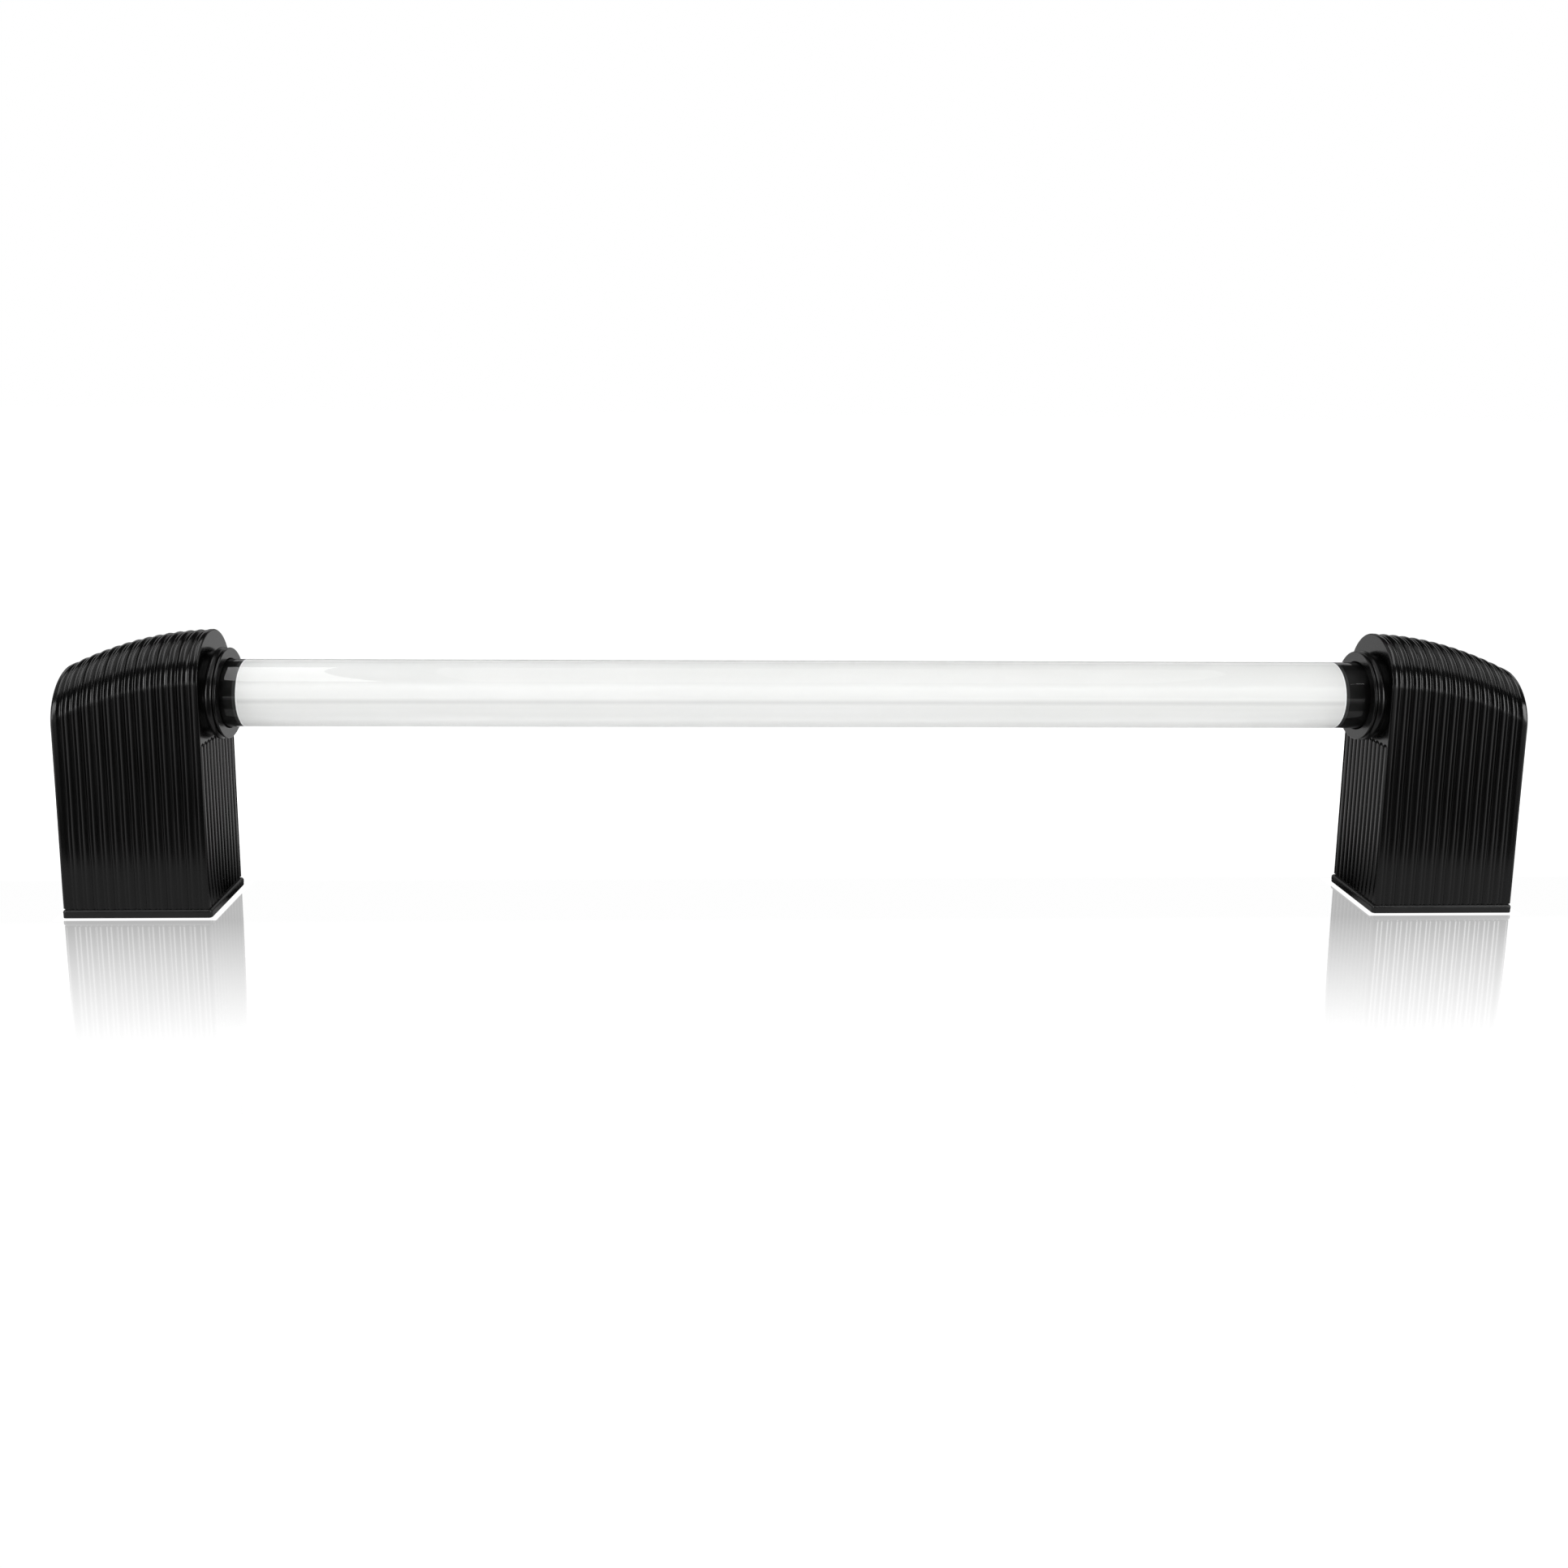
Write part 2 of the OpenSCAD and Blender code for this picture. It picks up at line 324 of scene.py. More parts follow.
def moulded_black(name, dark, light, rough_low, rough_high, drag):
    """Moulded black plastic: slightly uneven in shade and gloss, with a fine grain and faint drag lines.

    drag is how strong the lines are that it got as it left the mould, along its ribs.
    """
    m = Nodes(name)
    m.set(IOR=1.5)
    m.link(m.ramp(m.noise(38, 3), dark, light), m.shader.inputs["Base Color"])
    m.link(m.ramp(m.noise(90, 4, (1, 0.2, 0.2)), rough_low, rough_high), m.shader.inputs["Roughness"])
    fine, coarse = m.noise(900, 2, (1, 0.04, 0.04)), m.noise(260, 2, (1, 0.05, 0.05))
    m.bump([m.noise(2600, 2), fine, coarse], [0.1, drag, drag], [0.00005, 0.00012, 0.0003])
    return m.material


def painted_black(name):
    """Black powder coat with a light orange peel."""
    m = Nodes(name)
    m.set(IOR=1.5)
    shade = m.ramp(m.noise(25, 3), (0.005, 0.005, 0.0052), (0.008, 0.008, 0.0082))
    m.link(shade, m.shader.inputs["Base Color"])
    m.link(m.ramp(m.noise(90, 3), 0.26, 0.36), m.shader.inputs["Roughness"])
    m.bump([m.noise(900, 2), m.noise(3200, 1)], [0.22, 0.08], [0.0001, 0.00004])
    return m.material


def white_plastic():
    """The liner: even white with faint marks along its length, a painted shade line along its front below its
    middle, and a painted highlight at each cut end.
    """
    m = Nodes("white_liner")
    m.set(IOR=1.48, Specular_IOR_Level=0.0)  # the clear sleeve lies tight on it, so only the sleeve shines
    drawn = m.ramp(m.noise(55, 3, (0.06, 1, 1)), (0.85, 0.85, 0.84), (0.89, 0.89, 0.885))
    # Painted shade: a dark line along the liner's front, where its lit top meets the floor's reflection below
    shade_line_elevation, shade_line_half_width, shade_line_factor = -5.5, 1.1 * MM, 0.86
    shade_lined_white = m.seam(drawn, liner_r, shade_line_elevation, shade_line_half_width, shade_line_factor)
    # Painted highlight: the last 0.8 mm at each end of the liner is painted pure white, for the bright line of
    # light there
    end_highlight_length = 0.8 * MM
    painted_end_highlight = m.beyond(liner_half - end_highlight_length)
    m.link(m.mix(painted_end_highlight, shade_lined_white, (1, 1, 1)), m.shader.inputs["Base Color"])
    m.link(m.ramp(m.noise(30, 3), 0.34, 0.46), m.shader.inputs["Roughness"])
    m.bump([m.noise(420, 2, (0.1, 1, 1))], [0.05], [0.0001])
    return m.material


def clear_plastic():
    """The sleeve: clear polished plastic with faint handling haze. Lamps shine through it."""
    m = Nodes("clear_sleeve")
    m.set(IOR=1.49, Transmission_Weight=1.0)
    m.link(m.ramp(m.noise(20, 3), (0.965, 0.975, 0.972), (0.99, 0.995, 0.993)), m.shader.inputs["Base Color"])
    m.link(m.ramp(m.noise(45, 4, (0.2, 1, 1)), 0.0, 0.035), m.shader.inputs["Roughness"])
    m.bump([m.noise(14, 2, (0.4, 1, 1))], [0.04], [0.0006])
    clear = m.tree.nodes.new("ShaderNodeBsdfTransparent")
    clear.inputs["Color"].default_value = (0.96, 0.97, 0.97, 1)
    path = m.tree.nodes.new("ShaderNodeLightPath")
    mix = m.tree.nodes.new("ShaderNodeMixShader")
    m.link(path.outputs["Is Shadow Ray"], mix.inputs["Fac"])
    m.link(m.shader.outputs["BSDF"], mix.inputs[1])
    m.link(clear.outputs["BSDF"], mix.inputs[2])
    m.link(mix.outputs["Shader"], m.output.inputs["Surface"])
    return m.material


def turned_nylon():
    """Black nylon bushing, with fine rings left by the lathe, and its rim by the liner painted a lighter grey
    as painted light.
    """
    m = Nodes("turned_nylon")
    m.set(IOR=1.53, Specular_IOR_Level=0.1)
    # Painted light: the rim next to the liner's end is painted a lighter grey, where light shows on the
    # bushing's nose
    rim = m.ramp(m.noise(90, 2), (0.028, 0.028, 0.028), (0.036, 0.036, 0.036))
    deep = m.ramp(m.noise(90, 2), (0.001, 0.001, 0.001), (0.0025, 0.0025, 0.0025))
    light_rim_length = 1.8 * MM
    past_light_rim = m.beyond(liner_half + light_rim_length)
    m.link(m.mix(past_light_rim, rim, deep), m.shader.inputs["Base Color"])
    m.link(m.ramp(m.noise(70, 3), 0.3, 0.42), m.shader.inputs["Roughness"])
    m.bump([m.noise(900, 2, (1, 0.02, 0.02))], [0.15], [0.00005])
    return m.material


def steel(name, colour, rough_low, rough_high, stretch):
    """Plated steel, brushed or turned along a direction."""
    m = Nodes(name)
    m.set(Metallic=1.0)
    dull = tuple(0.82 * c for c in colour)
    m.link(m.ramp(m.noise(70, 4), dull, colour), m.shader.inputs["Base Color"])
    m.link(m.ramp(m.noise(300, 4, stretch), rough_low, rough_high), m.shader.inputs["Roughness"])
    m.bump([m.noise(1200, 3, stretch)], [0.12], [0.00005])
    return m.material


def acetal():
    """Natural acetal washer: ivory, waxy."""
    m = Nodes("natural_acetal")
    m.set(IOR=1.48, Subsurface_Weight=0.1, Subsurface_Scale=0.002)
    m.link(m.ramp(m.noise(120, 3), (0.74, 0.72, 0.66), (0.82, 0.8, 0.74)), m.shader.inputs["Base Color"])
    m.link(m.ramp(m.noise(80, 2), 0.35, 0.45), m.shader.inputs["Roughness"])
    m.bump([m.noise(1500, 2)], [0.1], [0.00005])
    return m.material


cover_black = moulded_black(
    "cover_black", (0.0012, 0.0012, 0.0012), (0.0022, 0.0022, 0.0023), 0.15, 0.22, 0.25)
collar_black = moulded_black(
    "collar_black", (0.0014, 0.0014, 0.0014), (0.0024, 0.0024, 0.0025), 0.2, 0.28, 0.05)
plate_black = painted_black("plate_black")
post_black = painted_black("post_black")
liner_white = white_plastic()
sleeve_clear = clear_plastic()
nylon_black = turned_nylon()
washer_ivory = acetal()
core_steel = steel("core_steel", (0.6, 0.61, 0.63), 0.22, 0.34, (0.03, 1, 1))
socket_steel = steel("socket_steel", (0.56, 0.57, 0.59), 0.28, 0.4, (1, 0.03, 0.03))
zinc = steel("zinc_plate", (0.68, 0.68, 0.66), 0.24, 0.36, (1, 1, 1))


# ---------------------------------------------------------------- cover


arc_angle = math.atan((cover_length + crown_back - corner_r / 2) / crown_r)
arc_start = cover_length - corner_r * (1 - math.sin(arc_angle))
arc_mid_z = crown_top - (arc_start + crown_back) ** 2 / (2 * crown_r) - corner_r * math.cos(arc_angle)


def ridge(s):
    """Height of the cover's top line at distance s from its inner face."""
    if s < arc_start:
        return crown_top - (s + crown_back) ** 2 / (2 * crown_r)
    return arc_mid_z + math.sqrt(max(0, corner_r**2 - (s - (cover_length - corner_r)) ** 2))


inner_round = 0.8 * MM
outer_round = 2.2 * MM
rib_depth = 1.15 * MM
# Each rib is a broad bead with a narrow low one on its outer side: crest, half width and height, in rib pitches
# from the deep groove on the rib's inner side, and as a share of the depth
broad_bead = (0.33, 0.36, 1.0)
narrow_bead = (0.78, 0.22, 0.6)
low_ribs = 0.55  # depth of the ribs by the plate, as a share of their full depth
ribs_deepen = (18 * MM, 84 * MM)  # heights between which they get to that full depth
foot_depth = 0.5 * MM  # how far the skin is set back just above the plate
foot_height = 0.4 * MM
dome_steps = 60
per_flute = 12
inner_flute_top = axis_z - collar_r + 2.4 * MM
outer_flute_top = arc_mid_z - arch_r - 2 * MM
flute_top_gap = 0.6 * MM  # from the top of the flutes to where the flat part of an end face starts
flute_pitch = 2 * (arch_r - inner_round) / flute_count
flute_deep = 1.0 * MM


def smoothstep(x, low, high):
    t = min(1, max(0, (x - low) / (high - low)))
    return t * t * (3 - 2 * t)


def middle(s):
    """Height at which the cover's sides meet its dome."""
    return ridge(s) - arch_r


def end_inset(s):
    """How far the outline draws in where it rounds over to the two end faces."""
    inset = 0.0
    if s < inner_round:
        inset += inner_round - math.sqrt(inner_round**2 - (inner_round - s) ** 2)
    if s > cover_length - outer_round:
        inset += outer_round - math.sqrt(max(0, outer_round**2 - (s - cover_length + outer_round) ** 2))
    return inset


def rib_inset(s):
    """Depth below the crests of the ribs. The cover is smooth from the first crest in, and the last one out."""
    across = s / cover_length * rib_count
    if across < broad_bead[0] or across > rib_count - 1 + broad_bead[0]:
        return 0.0
    heights = [top * (1 - ((across % 1 - crest) / half) ** 2) for crest, half, top in (broad_bead, narrow_bead)]
    return rib_depth * (1 - max(0, *heights))


def foot_inset(z):
    """The shadow gap along the plate."""
    return foot_depth * (1 - smoothstep(z, plate_hi.z + foot_height, plate_hi.z + 1.6 * foot_height))


def cover_sections():
    """Distances from the inner face at which the skin is drawn, closer together in grooves and at the ends."""
    pitch = cover_length / rib_count
    steps = [0, 0.04, 0.08, 0.14, 0.2, 0.27, 0.33, 0.4, 0.47,
             0.54, 0.6, 0.63, 0.67, 0.72, 0.78, 0.85, 0.91, 0.96]
    places = {round((i + w) * pitch, 8) for i in range(rib_count) for w in steps}
    turns = [math.radians(90 * k / 8) for k in range(9)]
    places |= {round(inner_round * (1 - math.cos(t)), 8) for t in turns}
    places |= {round(cover_length - outer_round * (1 - math.sin(t)), 8) for t in turns}
    places |= {round(cover_length - 0.6 * corner_r * (1 - math.sin(t)), 8) for t in turns}
    return sorted(places)


def side_heights(s):
    """Heights up a side, from the plate to the dome, close together at the foot and at the flutes' tops."""
    mix = s / cover_length
    tip = inner_flute_top * (1 - mix) + outer_flute_top * mix + flute_top_gap
    foot = plate_hi.z + 1.6 * foot_height
    below = tip - 0.8 * flute_pitch
    heights = [plate_hi.z, plate_hi.z + foot_height, foot]
    heights += [foot + (below - foot) * k / 9 for k in range(1, 9)]
    heights += [below + (tip - below) * k / 16 for k in range(17)]
    heights += [tip + (middle(s) - tip) * k / 8 for k in range(1, 9)]
    return heights


def skin(s):
    """Points round the cover at s: up the front, over the dome and down the back."""
    ribs = rib_inset(s)
    outer = arch_r - end_inset(s)
    front = []
    for z in side_heights(s):
        fade = low_ribs + (1 - low_ribs) * smoothstep(z, *ribs_deepen)
        y = outer - ribs * fade - foot_inset(z)
        back = foot_inset(z)
        x = cover_lo.x + back + s * (1 - 2 * back / cover_length)
        front.append((x, -y, z))
    x = cover_lo.x + s
    dome = [(x, -(outer - ribs) * math.cos(a), middle(s) + (outer - ribs) * math.sin(a))
            for a in (math.pi * k / dome_steps for k in range(1, dome_steps))]
    return front + dome + [(x, -y, z) for x, y, z in reversed(front)]


def flute_depth(y, z, top):
    """How far the fluted part of an end face lies below it: rounded flutes with arched tops."""
    dy = (y / flute_pitch + flute_count / 2) % 1 - 0.5
    dz = max(0, z - (top - flute_pitch / 2)) / flute_pitch
    q = 2 * math.hypot(dy, dz)
    if q > 1 or z > top:
        return 0.0
    return flute_deep * (0.04 + 0.96 * q**2)


def end_face(verts, faces, s, first, flute_top):
    """Closes one end of the skin: a fluted grid below, and one flat face above it.

    first is the index of the end section's first point.
    """
    outwards = -1 if s == 0 else 1
    face_x = cover_lo.x + s
    heights = side_heights(s)
    width = arch_r - end_inset(s)
    n = 2 * len(heights) + dome_steps - 1
    rows = [k for k, z in enumerate(heights) if z <= flute_top + 1.02 * flute_top_gap]
    columns = flute_count * per_flute
    grid = {}
    for k in rows:
        back = foot_inset(heights[k])
        for c in range(1, columns):
            y = (width - back) * (2 * c / columns - 1)
            depth = max(back, flute_depth(y, heights[k], flute_top))
            grid[k, c] = len(verts)
            verts.append((face_x - outwards * depth, y, heights[k]))
        grid[k, 0], grid[k, columns] = first + k, first + n - 1 - k
    for k in rows[:-1]:
        for c in range(columns):
            faces.append((grid[k, c], grid[k, c + 1], grid[k + 1, c + 1], grid[k + 1, c]))
    last = rows[-1]
    rim = [first + k for k in range(n - 2 - last, last, -1)]
    faces.append(tuple([grid[last, c] for c in range(columns + 1)] + rim))


def cover_cavity():
    """The hollow inside a cover, as a closed cutter that runs out through the bottom."""
    count = 24
    span = cover_length - 2 * cover_wall
    r = arch_r - cover_wall
    verts, faces = [], []
    for i in range(count + 1):
        s = cover_wall + span * i / count
        steep = 0.45 * cover_wall * (i / count) ** 3  # keeps the wall thick where the top turns down
        top = middle(s) - steep
        x = cover_lo.x + s
        verts += [(x, -r, 0), (x, r, 0)]
        verts += [(x, r * math.cos(a), top + r * math.sin(a)) for a in
                  (math.pi * k / 24 for k in range(25))]
    n = len(verts) // (count + 1)
    for i in range(count):
        a, b = i * n, (i + 1) * n
        faces += [(a + k, a + (k + 1) % n, b + (k + 1) % n, b + k) for k in range(n)]
    faces += [tuple(range(n)), tuple(reversed(range(count * n, count * n + n)))]
    return mesh_piece("cavity", verts, faces)


def close_holes(piece):
    """Fills the openings left in a mesh."""
    bm = bmesh.new()
    bm.from_mesh(piece.data)
    bmesh.ops.holes_fill(bm, edges=[e for e in bm.edges if e.is_boundary], sides=0)
    bm.to_mesh(piece.data)
    bm.free()


def plug(name, x0, x1, r, segments=128):
    """A closed cylinder along the bar's axis."""
    verts = []
    for x in (x0, x1):
        verts += [(x, r * math.sin(t), axis_z + r * math.cos(t)) for t in
                  (2 * math.pi * k / segments for k in range(segments))]
    faces = [(k, (k + 1) % segments, segments + (k + 1) % segments, segments + k) for k in range(segments)]
    faces += [tuple(reversed(range(segments))), tuple(range(segments, 2 * segments))]
    return mesh_piece(name, verts, faces)


def cover(side_name):
    """One ribbed cover: skin, fluted ends, hollow, and the hole that the collar plugs into."""
    places = cover_sections()
    verts, faces = [], []
    for s in places:
        verts += skin(s)
    n = len(verts) // len(places)
    for i in range(len(places) - 1):
        a, b = i * n, (i + 1) * n
        faces += [(a + k, b + k, b + k + 1, a + k + 1) for k in range(n - 1)]
    end_face(verts, faces, 0, 0, inner_flute_top)
    end_face(verts, faces, cover_length, (len(places) - 1) * n, outer_flute_top)
    piece = mesh_piece("ribbed_cover_" + side_name, verts, faces)
    close_holes(piece)
    outward(piece)
    cut_away(piece, cover_cavity())
    past_face = 2 * MM
    cut_away(piece, plug("hole", cover_lo.x - past_face, cover_lo.x + 2 * cover_wall, spigot_r + fit_gap))
    mirror_to(piece, side_name)
    finish_piece(piece, "frame", cover_black, ["cover_" + side_name], 40)


# ---------------------------------------------------------------- collar, grip, base plate


def collar(side_name):
    """A ring with a flat lip and one round bead, on a spigot that plugs into the cover."""
    x0, cover_x = collar_lo.x, cover_lo.x
    bead, lip, groove, spigot_length = 2.4 * MM, 1.4 * MM, 0.3 * MM, 5 * MM
    soft_edge, small_edge = 0.5 * MM, 0.3 * MM
    neck_r, lip_r = collar_r - bead, collar_r - 0.4 * MM
    groove_r = neck_r + 0.7 * MM
    lip_x = x0 + lip
    bead_x = lip_x + groove + bead
    bead_end_x = bead_x + bead + 0.2 * MM
    inner_x = cover_x + spigot_length
    outline = filleted([(inner_x, spigot_r, small_edge), (inner_x, collar_bore_r, small_edge),
                        (x0, collar_bore_r, soft_edge), (x0, lip_r, soft_edge), (lip_x, lip_r, soft_edge),
                        (lip_x, groove_r, 0)])
    outline += arc(bead_x, neck_r, bead, 162, 12, 18)
    outline += [(bead_end_x, neck_r), (cover_x, neck_r), (cover_x, spigot_r + small_edge),
                (cover_x + small_edge, spigot_r)]
    piece = lathe("beaded_collar_" + side_name, outline, SIDES[side_name])
    finish_piece(piece, "frame", collar_black, ["collar_" + side_name], 50)


def grip():
    """The clear sleeve, the white liner in it, and a black bushing in each end."""
    end = sleeve_hi.x
    bevel, small_edge, cut_edge = 0.6 * MM, 0.3 * MM, 0.25 * MM
    sleeve = lathe("clear_grip_sleeve", filleted([
        (-end, sleeve_r, bevel), (end, sleeve_r, bevel), (end, sleeve_bore_r, small_edge),
        (-end, sleeve_bore_r, small_edge)]), segments=256)
    finish_piece(sleeve, "grip", sleeve_clear, ["clear_sleeve"], 60)
    start, end = liner_lo.x, liner_hi.x
    liner = lathe("white_grip_liner", filleted([
        (start, liner_r, cut_edge), (end, liner_r, cut_edge), (end, liner_r - liner_wall, cut_edge),
        (start, liner_r - liner_wall, cut_edge)]), segments=192)
    finish_piece(liner, "grip", liner_white, ["white_liner"], 60)
    for side_name, side in SIDES.items():
        x0 = bushing_lo.x if side > 0 else -left_bushing_hi.x
        x1 = bushing_hi.x
        bushing = lathe("grip_bushing_" + side_name, filleted([
            (x0, bushing_bore_r, small_edge), (x0, liner_r, 0.05 * MM), (sleeve_hi.x, liner_r, 0.1 * MM),
            (sleeve_hi.x, flange_r, 0.5 * MM), (x1, flange_r, 0.5 * MM), (x1, bushing_bore_r, small_edge),
        ]), side)
        finish_piece(bushing, "grip", nylon_black, ["end_bushing_" + side_name])


def joined_cylinders(name, specs):
    """Upright closed cylinders or cones in one mesh, from (x, y, z0, r0, z1, r1)."""
    segments = 48
    verts, faces = [], []
    for x, y, z0, r0, z1, r1 in specs:
        base = len(verts)
        for z, r in ((z0, r0), (z1, r1)):
            verts += [(x + r * math.cos(t), y + r * math.sin(t), z) for t in
                      (2 * math.pi * k / segments for k in range(segments))]
        top = base + segments
        faces += [(base + k, base + (k + 1) % segments, top + (k + 1) % segments, top + k)
                  for k in range(segments)]
        faces += [tuple(base + k for k in reversed(range(segments))),
                  tuple(top + k for k in range(segments))]
    return mesh_piece(name, verts, faces)


def base_plate(side_name):
    """A thin steel slab with rounded corners and edges, drilled for its screws."""
    lo, hi = plate_lo, plate_hi
    corner_round, top_round, bottom_round = 2 * MM, 1.5 * MM, 0.4 * MM
    bm = bmesh.new()
    bmesh.ops.create_cube(bm, size=1)
    bmesh.ops.scale(bm, vec=hi - lo, verts=bm.verts)
    bmesh.ops.translate(bm, vec=(lo + hi) / 2, verts=bm.verts)
    upright = [e for e in bm.edges if abs(e.verts[0].co.z - e.verts[1].co.z) > (hi.z - lo.z) / 2]
    bmesh.ops.bevel(bm, geom=upright, offset=corner_round, segments=8, affect="EDGES", profile=0.5)
    for facing, radius in ((1, top_round), (-1, bottom_round)):
        rim = list(dict.fromkeys(e for f in bm.faces if facing * f.normal.z > 0.9 for e in f.edges))
        bmesh.ops.bevel(bm, geom=rim, offset=radius, segments=6, affect="EDGES", profile=0.5)
    # Bevelling leaves the faces in an order that changes from run to run, so they are put in a fixed one
    bm.verts.index_update()
    verts = [tuple(v.co) for v in bm.verts]
    faces = sorted(tuple(v.index for v in face.verts) for face in bm.faces)
    bm.free()
    piece = mesh_piece("rounded_plate_" + side_name, verts, faces)
    mount_hole_r, key_hole_r = 4.2 * MM, 4.5 * MM
    half_flats, half_corners = 6.5 * MM, 7.5 * MM  # of the weld nuts, which the mounting holes lie under
    xs = [nuts_lo.x + half_flats, nuts_hi.x - half_flats]
    y = nuts_hi.y - half_corners
    below, above = lo.z - MM, hi.z + MM
    through = [(x, dy, below, mount_hole_r, above, mount_hole_r) for x in xs for dy in (-y, y)]
    through.append(((post_lo.x + post_hi.x) / 2, 0, below, key_hole_r, above, key_hole_r))
    cut_away(piece, joined_cylinders("holes", through))
    screw_head_r, shank_hole_r = 4 * MM, 2.05 * MM
    screw_xs = [screws_lo.x + screw_head_r, screws_hi.x - screw_head_r]
    # The cone of a screw's seat starts below the plate, so it is wider there than the screw's head
    seat = (-0.5 * MM, 4.85 * MM, 2.3 * MM, shank_hole_r)
    shank = (1 * MM, shank_hole_r, 5.5 * MM, shank_hole_r)
    cut_away(piece, joined_cylinders("heads", [(x, 0, *seat) for x in screw_xs]))
    cut_away(piece, joined_cylinders("shanks", [(x, 0, *shank) for x in screw_xs]))
    mirror_to(piece, side_name)
    finish_piece(piece, "frame", plate_black, ["base_plate_" + side_name], 30)


grip()
for name in SIDES:
    cover(name)
    collar(name)
    base_plate(name)

# ---------------------------------------------------------------- inner pieces keep their CAD shapes

finishes = {"core_tube": core_steel, "thrust_washer": washer_ivory, "post": post_black, "socket": socket_steel,
            "set_screw": zinc, "weld_nuts": zinc, "cover_screws": zinc}
for node_name, node in frame["nodes"].items():
    for start, material in finishes.items():
        if node_name.startswith(start):
            node.data.materials.clear()
            node.data.materials.append(material)

# ---------------------------------------------------------------- stage, light and camera


def stage_floor():
    """A wide white floor with a faint gloss, in which the blocks' feet are mirrored and fade further off.

    The camera sees its own white, greyer in front of and behind the bar, with the mirrored feet added, and a
    thin bright edge round each plate. The object's reflections see a plain glow: bright behind and to the
    sides, fainter just in front, and dark beyond.
    """
    size = 30
    corners = [(-size, -size, 0), (size, -size, 0), (size, size, 0), (-size, size, 0)]
    floor = mesh_piece("floor", corners, [(0, 1, 2, 3)])
    m = Nodes("floor_white")
    new = m.tree.nodes.new
    place = new("ShaderNodeSeparateXYZ")
    m.link(m.place, place.inputs["Vector"])
    path = new("ShaderNodeLightPath")
    own = new("ShaderNodeEmission")
    off_line = m.math("ABSOLUTE", place.outputs["Y"])
    grey = m.ramp(off_line, 0.45, 1.0, 0.032, 0.181)
    off_plate = m.math("SUBTRACT", m.math("ABSOLUTE", place.outputs["X"]), (plate_lo.x + plate_hi.x) / 2)
    plate_half = (plate_hi.x - plate_lo.x) / 2
    edge, edge_end = 3 * MM, 4.5 * MM
    in_depth = m.ramp(off_line, 1.0, 0.0, plate_hi.y + edge, plate_hi.y + edge_end)
    in_length = m.ramp(m.math("ABSOLUTE", off_plate), 1.0, 0.0, plate_half + edge, plate_half + edge_end)
    m.link(m.math("MAXIMUM", grey, m.math("MULTIPLY", in_depth, in_length)), own.inputs["Strength"])
    gloss = new("ShaderNodeBsdfAnisotropic")
    gloss.inputs["Color"].default_value = (0.9, 0.9, 0.9, 1)
    gloss.inputs["Roughness"].default_value = 0.06
    seen = new("ShaderNodeAddShader")
    m.link(own.outputs["Emission"], seen.inputs[0])
    m.link(gloss.outputs["BSDF"], seen.inputs[1])
    behind = m.ramp(place.outputs["Y"], 0.0, 0.72, 0.02, 0.13)
    in_front = m.math("MULTIPLY", m.ramp(place.outputs["Y"], 0.03, 0.36, -0.14, -0.125),
                      m.ramp(place.outputs["Y"], 1.0, 0.0, -0.01, 0.005))
    aside = m.ramp(m.math("ABSOLUTE", place.outputs["X"]), 0.0, 0.5, 0.47, 0.8)
    mirrored = m.math("SUBTRACT", path.outputs["Is Glossy Ray"], path.outputs["Is Transmission Ray"])
    mirrored = m.math("MAXIMUM", mirrored, 0.0)
    strength = new("ShaderNodeMix")
    m.link(mirrored, strength.inputs["Factor"])
    strength.inputs["A"].default_value = 1.5  # for all rays but the object's reflections
    m.link(m.math("ADD", m.math("ADD", behind, in_front), aside), strength.inputs["B"])
    glow = new("ShaderNodeEmission")
    m.link(strength.outputs["Result"], glow.inputs["Strength"])
    whole = new("ShaderNodeMixShader")
    m.link(path.outputs["Is Camera Ray"], whole.inputs["Fac"])
    m.link(glow.outputs["Emission"], whole.inputs[1])
    m.link(seen.outputs["Shader"], whole.inputs[2])
    m.link(whole.outputs["Shader"], m.output.inputs["Surface"])
    m.material.cycles.emission_sampling = "NONE"  # bounced rays find the floor; it isn't sampled as a lamp
    floor.data.materials.append(m.material)


def softbox(name, place, target, size, radiance, seen_by):
    """A soft area light that isn't itself in view.

    seen_by is gloss for a light that only shows in reflections, or diffuse for one that only fills.
    """
    light = bpy.data.lights.new(name, "AREA")
    light.shape = "RECTANGLE"
    light.size, light.size_y = size
    light.energy = radiance * math.pi * size[0] * size[1]
    lamp = bpy.data.objects.new(name, light)
    lamp.location = place
    lamp.rotation_euler = (Vector(target) - Vector(place)).to_track_quat("-Z", "Y").to_euler()
    lamp.visible_camera = False
    lamp.visible_glossy = seen_by == "gloss"
    lamp.visible_diffuse = seen_by == "diffuse"
    bpy.context.scene.collection.objects.link(lamp)


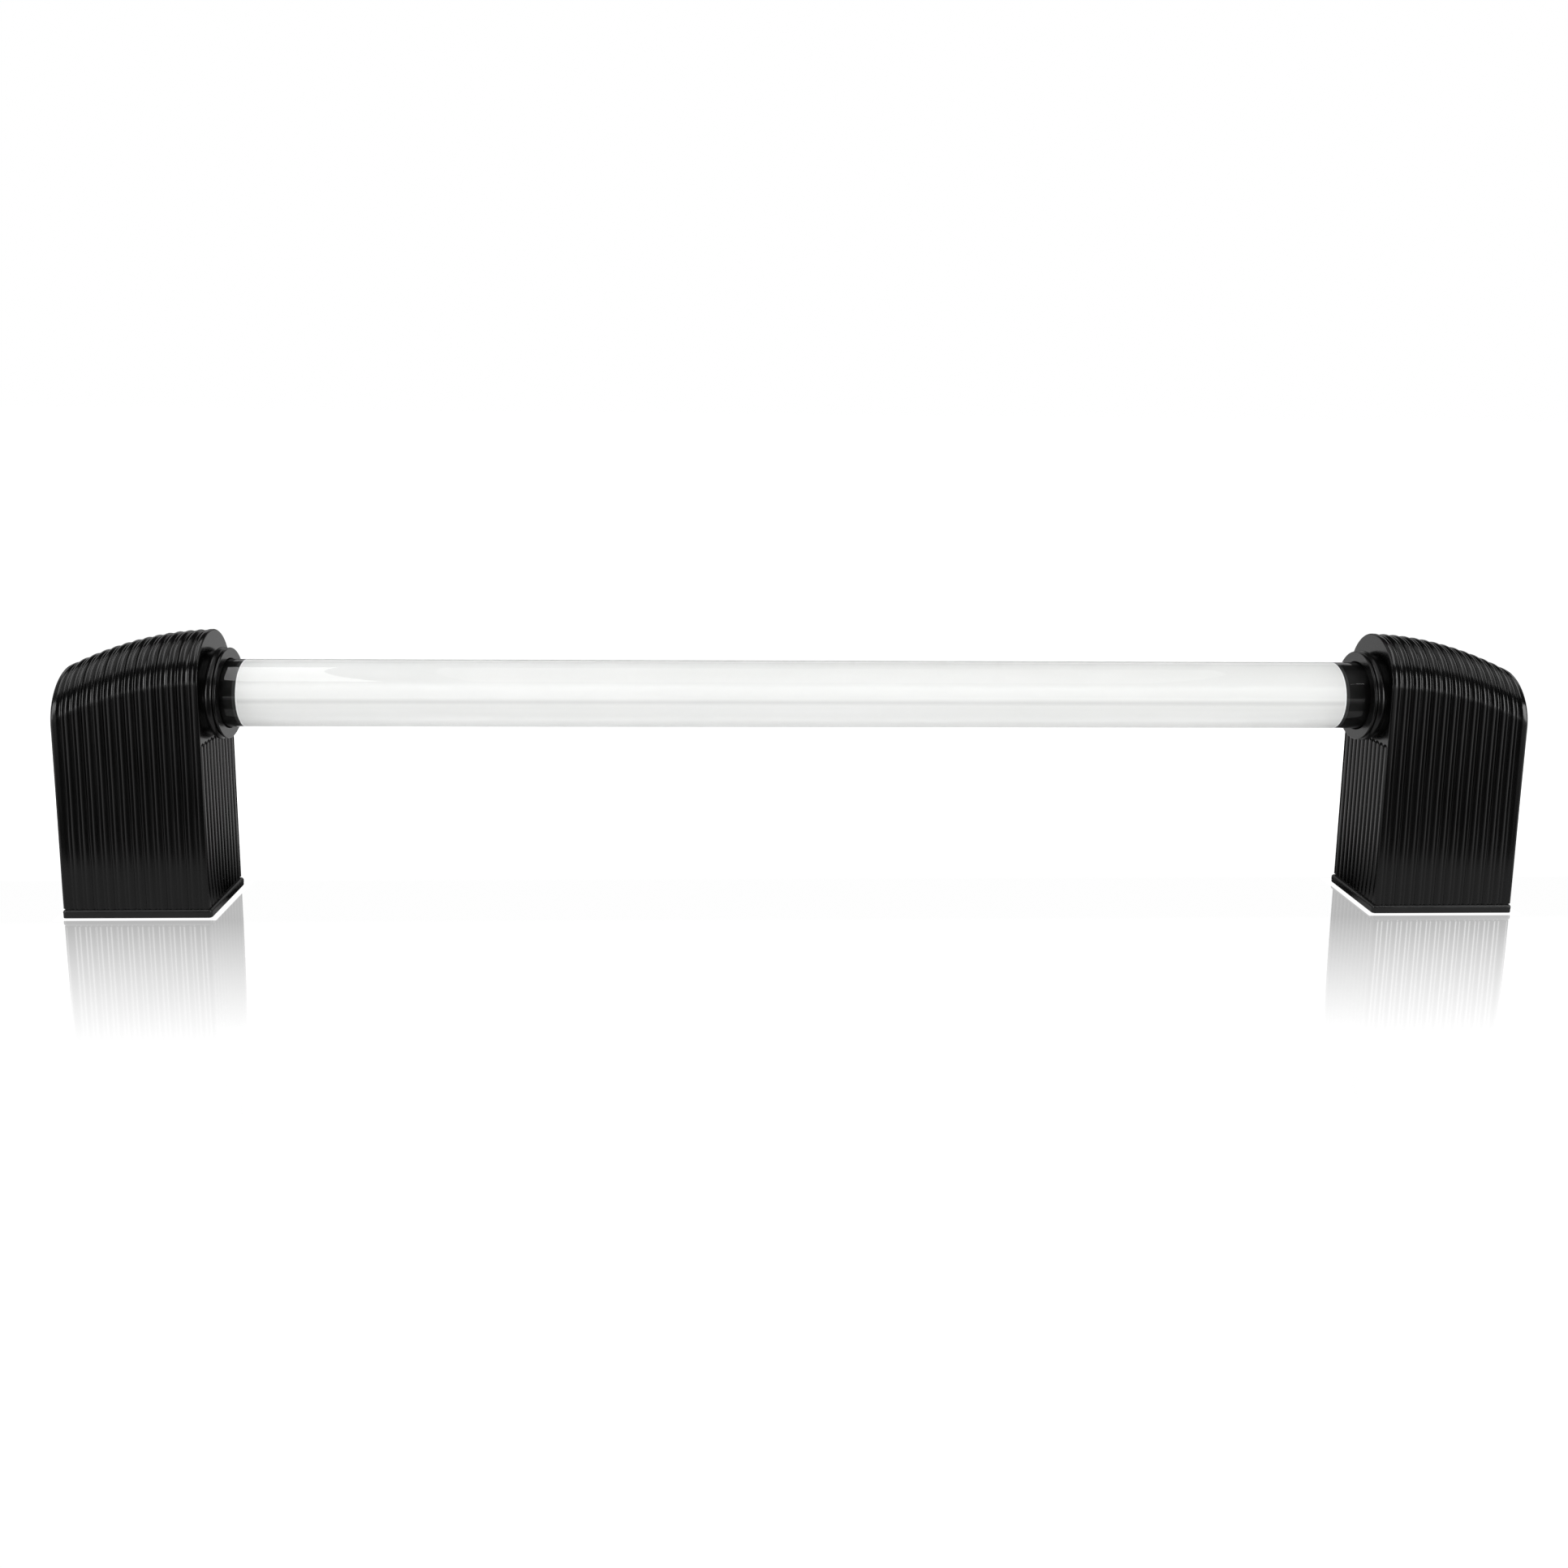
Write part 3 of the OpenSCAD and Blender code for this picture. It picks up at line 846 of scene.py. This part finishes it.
def world():
    """White in view. Reflections see a bright band low behind the bar, and it is dim everywhere else."""
    w = bpy.data.worlds.new("studio")
    bpy.context.scene.world = w
    w.use_nodes = True
    tree = w.node_tree
    new, link = tree.nodes.new, tree.links.new

    def ramp(value, start, end, low, high):
        node = new("ShaderNodeMapRange")
        for key, number in (("From Min", start), ("From Max", end), ("To Min", low), ("To Max", high)):
            node.inputs[key].default_value = number
        link(value, node.inputs["Value"])
        return node.outputs["Result"]

    def combine(operation, a, b):
        node = new("ShaderNodeMath")
        node.operation = operation
        link(a, node.inputs[0])
        link(b, node.inputs[1])
        return node.outputs["Value"]

    direction = new("ShaderNodeSeparateXYZ")
    link(new("ShaderNodeTexCoord").outputs["Generated"], direction.inputs["Vector"])
    path = new("ShaderNodeLightPath")
    band = combine("MULTIPLY", ramp(direction.outputs["Z"], 0.19, 0.23, 0.0, 1.0),
                   ramp(direction.outputs["Z"], 0.5, 0.56, 1.0, 0.0))
    backdrop = combine("MULTIPLY", ramp(direction.outputs["Y"], 0.0, 0.2, 0.0, 0.6), band)
    backdrop = combine("MULTIPLY", backdrop, path.outputs["Is Glossy Ray"])
    strength = combine("MAXIMUM", ramp(path.outputs["Is Camera Ray"], 0.0, 1.0, 0.03, 1.0), backdrop)
    link(strength, tree.nodes["Background"].inputs["Strength"])
    tree.nodes["Background"].inputs["Color"].default_value = (1, 1, 1, 1)


def camera():
    """The view that the object is judged from: in front, a little left of the middle, looking slightly down."""
    data = bpy.data.cameras.new("camera")
    data.sensor_width = 36
    data.lens = 32.304
    data.shift_x, data.shift_y = 0.01123, -0.09837
    cam = bpy.data.objects.new("camera", data)
    yaw, pitch, roll = 0.0398, 0.1607, 0.0104
    ahead = Vector((math.sin(yaw) * math.cos(pitch), math.cos(yaw) * math.cos(pitch), -math.sin(pitch)))
    right = Vector((math.cos(yaw), -math.sin(yaw), 0))
    up = right.cross(ahead)
    right, up = (right * math.cos(roll) + up * math.sin(roll), up * math.cos(roll) - right * math.sin(roll))
    turn = Matrix((right, up, -ahead)).transposed()
    cam.matrix_world = Matrix.Translation((-0.05161, -0.78359, 0.28581)) @ turn.to_4x4()
    data.clip_start, data.clip_end = 0.01, 100
    bpy.context.scene.collection.objects.link(cam)
    bpy.context.scene.camera = cam


stage_floor()
world()
overhead_y, overhead_z, overhead_depth = -0.28, 1.3, 1.35
for name, x, width, radiance in (("left_overhead_gloss", -1.38, 0.76, 2.2), ("sleeve_gloss", -0.69, 0.22, 2.7),
                                 ("right_overhead_gloss", 1.42, 0.84, 2.4), ("middle_gloss", 0.12, 1.1, 0.6)):
    softbox(name, (x, overhead_y, overhead_z), (x, overhead_y, 0), (width, overhead_depth), radiance, "gloss")
for name, side, radiance in (("right_gloss", 1, 5.0), ("left_gloss", -1, 3.5)):
    softbox(name, (side * 1.52, -0.99, 0.38), (side * 0.37, -0.03, 0.12), (0.7, 0.75), radiance, "gloss")
# The fill hangs just under the gloss panels, since panels in one plane would hide each other
softbox("overhead_fill", (0, overhead_y, 1.28), (0, overhead_y, 0), (2.4, overhead_depth), 2.03, "diffuse")
softbox("front_fill", (0, -1.6, 0.85), (0, 0, 0.3), (3.0, 1.5), 0.8, "diffuse")
camera()
bpy.context.scene.view_settings.view_transform = "Standard"
